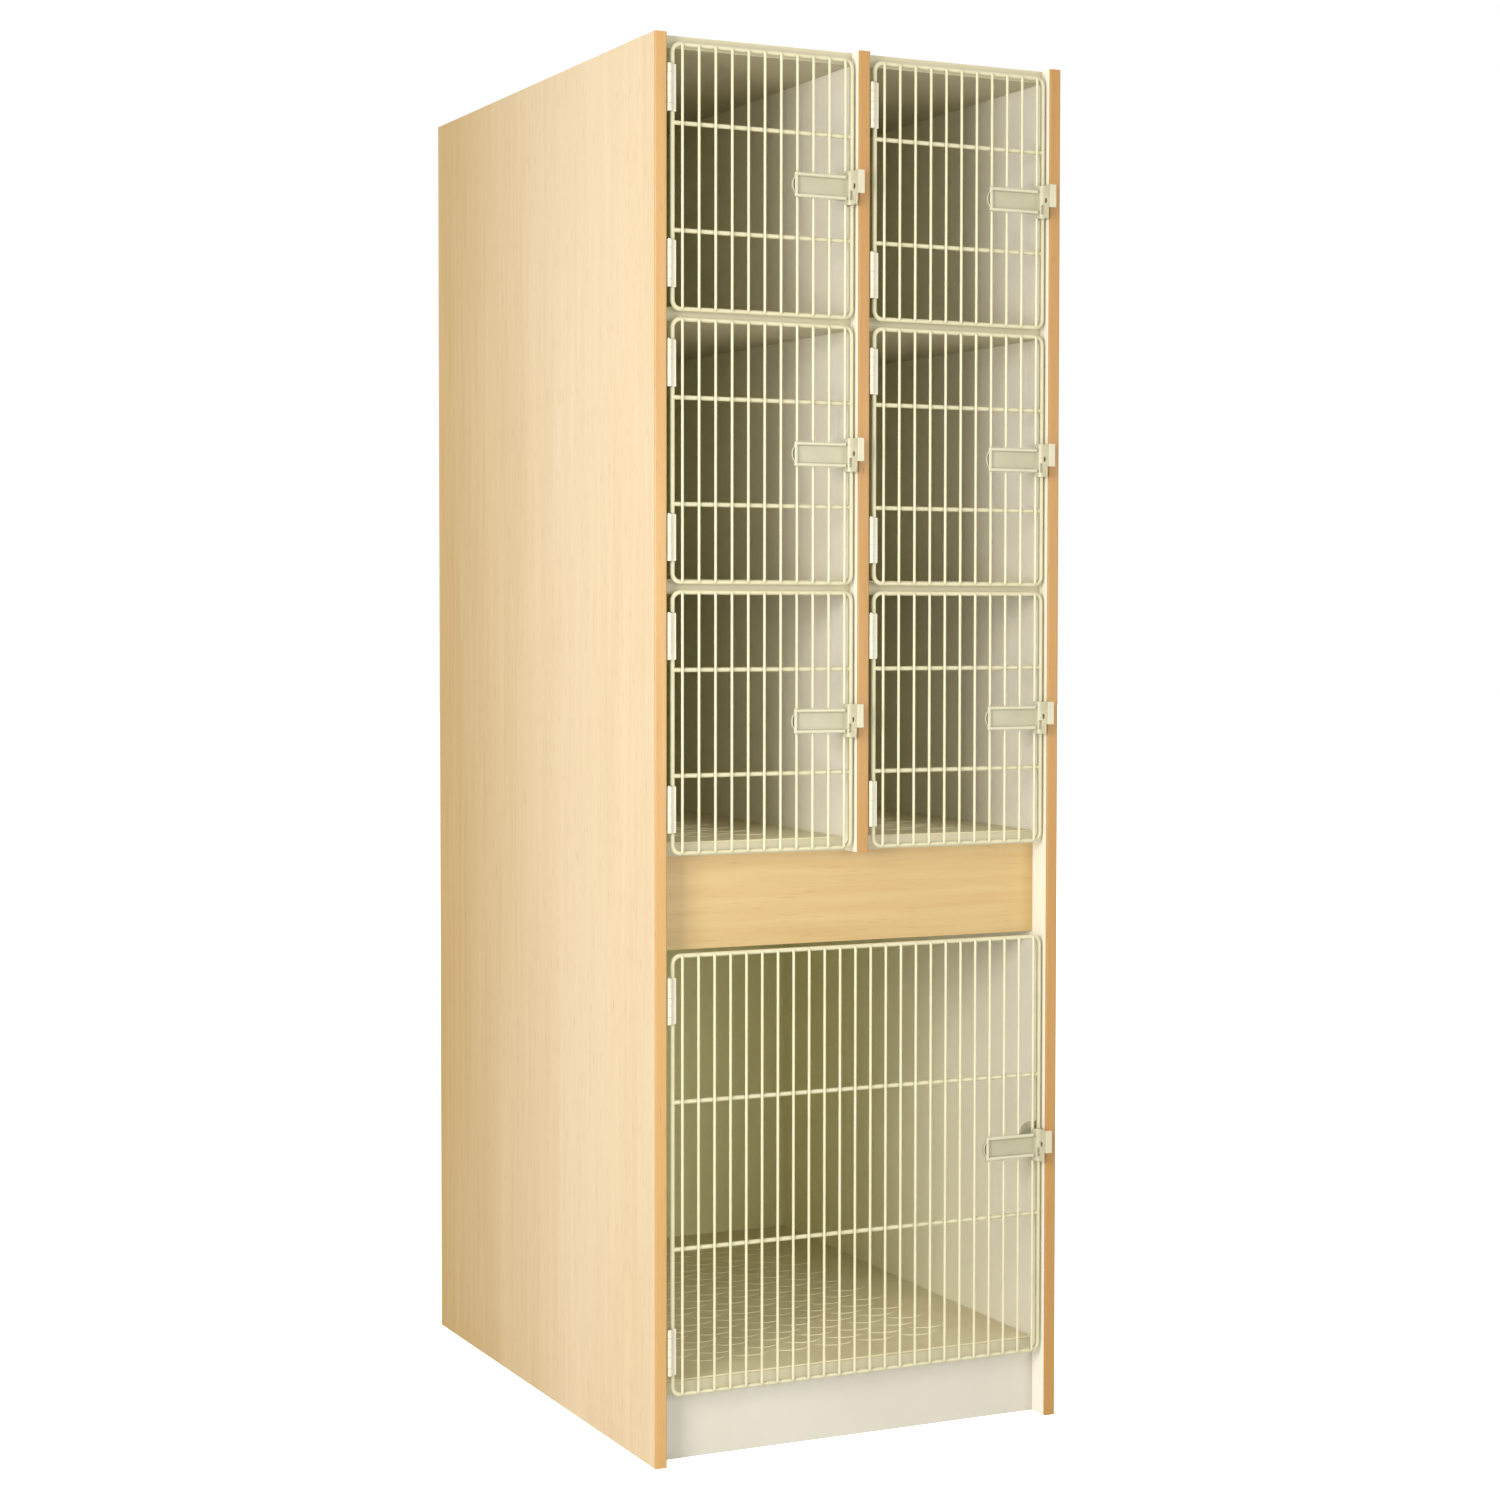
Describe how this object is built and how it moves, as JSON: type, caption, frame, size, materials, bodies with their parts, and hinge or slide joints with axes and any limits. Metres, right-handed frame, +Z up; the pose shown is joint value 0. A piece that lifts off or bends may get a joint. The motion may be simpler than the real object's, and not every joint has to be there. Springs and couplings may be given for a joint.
{
  "type": "wire door storage cabinet",
  "caption": "Tall maple-laminate cabinet with small wire-door compartments in two columns above one large compartment; each door has hinges and a lever latch.",
  "frame": {"origin": "middle of the overall box's footprint, at floor level", "axes": "+Z up, the doors face -Y, +X to the right seen from the front"},
  "size_m": [0.686, 1.0414, 2.134],
  "materials": {
    "maple_laminate": "satin",
    "maple_edge": "satin",
    "pale_laminate": "satin",
    "liner": "matte",
    "dowel_wood": "matte",
    "hinge_metal": "satin",
    "bare_steel": "satin",
    "latch_metal": "satin",
    "wire_coating": "satin"
  },
  "bodies": {
    "cabinet": {"left_side_panel": "maple_laminate", "right_side_panel": "maple_laminate", "center_divider": "maple_laminate", "filler_panel": "maple_laminate", "left_edge_band": "maple_edge", "right_edge_band": "maple_edge", "divider_edge_band": "maple_edge", "top_panel": "pale_laminate", "back_panel": "pale_laminate", "middle_deck": "pale_laminate", "bottom_deck": "pale_laminate", "toe_kick": "pale_laminate", "upper_shelf_left": "pale_laminate", "upper_shelf_right": "pale_laminate", "middle_shelf_left": "pale_laminate", "middle_shelf_right": "pale_laminate", "shelf_liners": "liner", "deck_liner_left": "liner", "deck_liner_right": "liner", "bottom_liner": "liner", "panel_dowels": "dowel_wood", "hinge_pins": "bare_steel", "hinge_screws": "bare_steel", "hinge_frame_leaves": "hinge_metal", "latch_keepers": "latch_metal"},
    "upper_left_door": {"upper_left_door_grille": "wire_coating", "upper_left_door_hinge_leaves": "hinge_metal"},
    "upper_left_lever": {"upper_left_latch_lever": "latch_metal", "upper_left_latch_tongue": "latch_metal"},
    "upper_right_door": {"upper_right_door_grille": "wire_coating", "upper_right_door_hinge_leaves": "hinge_metal"},
    "upper_right_lever": {"upper_right_latch_lever": "latch_metal", "upper_right_latch_tongue": "latch_metal"},
    "middle_left_door": {"middle_left_door_grille": "wire_coating", "middle_left_door_hinge_leaves": "hinge_metal"},
    "middle_left_lever": {"middle_left_latch_lever": "latch_metal", "middle_left_latch_tongue": "latch_metal"},
    "middle_right_door": {"middle_right_door_grille": "wire_coating", "middle_right_door_hinge_leaves": "hinge_metal"},
    "middle_right_lever": {"middle_right_latch_lever": "latch_metal", "middle_right_latch_tongue": "latch_metal"},
    "lower_left_door": {"lower_left_door_grille": "wire_coating", "lower_left_door_hinge_leaves": "hinge_metal"},
    "lower_left_lever": {"lower_left_latch_lever": "latch_metal", "lower_left_latch_tongue": "latch_metal"},
    "lower_right_door": {"lower_right_door_grille": "wire_coating", "lower_right_door_hinge_leaves": "hinge_metal"},
    "lower_right_lever": {"lower_right_latch_lever": "latch_metal", "lower_right_latch_tongue": "latch_metal"},
    "bottom_door": {"bottom_door_grille": "wire_coating", "bottom_door_hinge_leaves": "hinge_metal"},
    "bottom_lever": {"bottom_latch_lever": "latch_metal", "bottom_latch_tongue": "latch_metal"}
  },
  "joints": [
    {"name": "upper_left_door_hinge", "type": "hinge", "parent": "cabinet", "child": "upper_left_door", "pos_m": [-0.31895, -0.491, 1.92475], "axis": [0, 0, -1], "range_deg": [0, 105]},
    {"name": "upper_left_lever_hinge", "type": "hinge", "parent": "upper_left_door", "child": "upper_left_lever", "pos_m": [-0.01653, -0.4833, 1.92475], "axis": [0, 0, 1], "range_deg": [0, 25]},
    {"name": "upper_right_door_hinge", "type": "hinge", "parent": "cabinet", "child": "upper_right_door", "pos_m": [0.01452, -0.491, 1.92475], "axis": [0, 0, -1], "range_deg": [0, 105]},
    {"name": "upper_right_lever_hinge", "type": "hinge", "parent": "upper_right_door", "child": "upper_right_lever", "pos_m": [0.31695, -0.4833, 1.92475], "axis": [0, 0, 1], "range_deg": [0, 25]},
    {"name": "middle_left_door_hinge", "type": "hinge", "parent": "cabinet", "child": "middle_left_door", "pos_m": [-0.31895, -0.491, 1.52005], "axis": [0, 0, -1], "range_deg": [0, 105]},
    {"name": "middle_left_lever_hinge", "type": "hinge", "parent": "middle_left_door", "child": "middle_left_lever", "pos_m": [-0.01653, -0.4833, 1.52005], "axis": [0, 0, 1], "range_deg": [0, 25]},
    {"name": "middle_right_door_hinge", "type": "hinge", "parent": "cabinet", "child": "middle_right_door", "pos_m": [0.01452, -0.491, 1.52005], "axis": [0, 0, -1], "range_deg": [0, 105]},
    {"name": "middle_right_lever_hinge", "type": "hinge", "parent": "middle_right_door", "child": "middle_right_lever", "pos_m": [0.31695, -0.4833, 1.52005], "axis": [0, 0, 1], "range_deg": [0, 25]},
    {"name": "lower_left_door_hinge", "type": "hinge", "parent": "cabinet", "child": "lower_left_door", "pos_m": [-0.31895, -0.491, 1.11535], "axis": [0, 0, -1], "range_deg": [0, 105]},
    {"name": "lower_left_lever_hinge", "type": "hinge", "parent": "lower_left_door", "child": "lower_left_lever", "pos_m": [-0.01653, -0.4833, 1.11535], "axis": [0, 0, 1], "range_deg": [0, 25]},
    {"name": "lower_right_door_hinge", "type": "hinge", "parent": "cabinet", "child": "lower_right_door", "pos_m": [0.01452, -0.491, 1.11535], "axis": [0, 0, -1], "range_deg": [0, 105]},
    {"name": "lower_right_lever_hinge", "type": "hinge", "parent": "lower_right_door", "child": "lower_right_lever", "pos_m": [0.31695, -0.4833, 1.11535], "axis": [0, 0, 1], "range_deg": [0, 25]},
    {"name": "bottom_door_hinge", "type": "hinge", "parent": "cabinet", "child": "bottom_door", "pos_m": [-0.31895, -0.491, 0.43615], "axis": [0, 0, -1], "range_deg": [0, 105]},
    {"name": "bottom_lever_hinge", "type": "hinge", "parent": "bottom_door", "child": "bottom_lever", "pos_m": [0.31695, -0.4833, 0.43615], "axis": [0, 0, 1], "range_deg": [0, 25]}
  ]
}
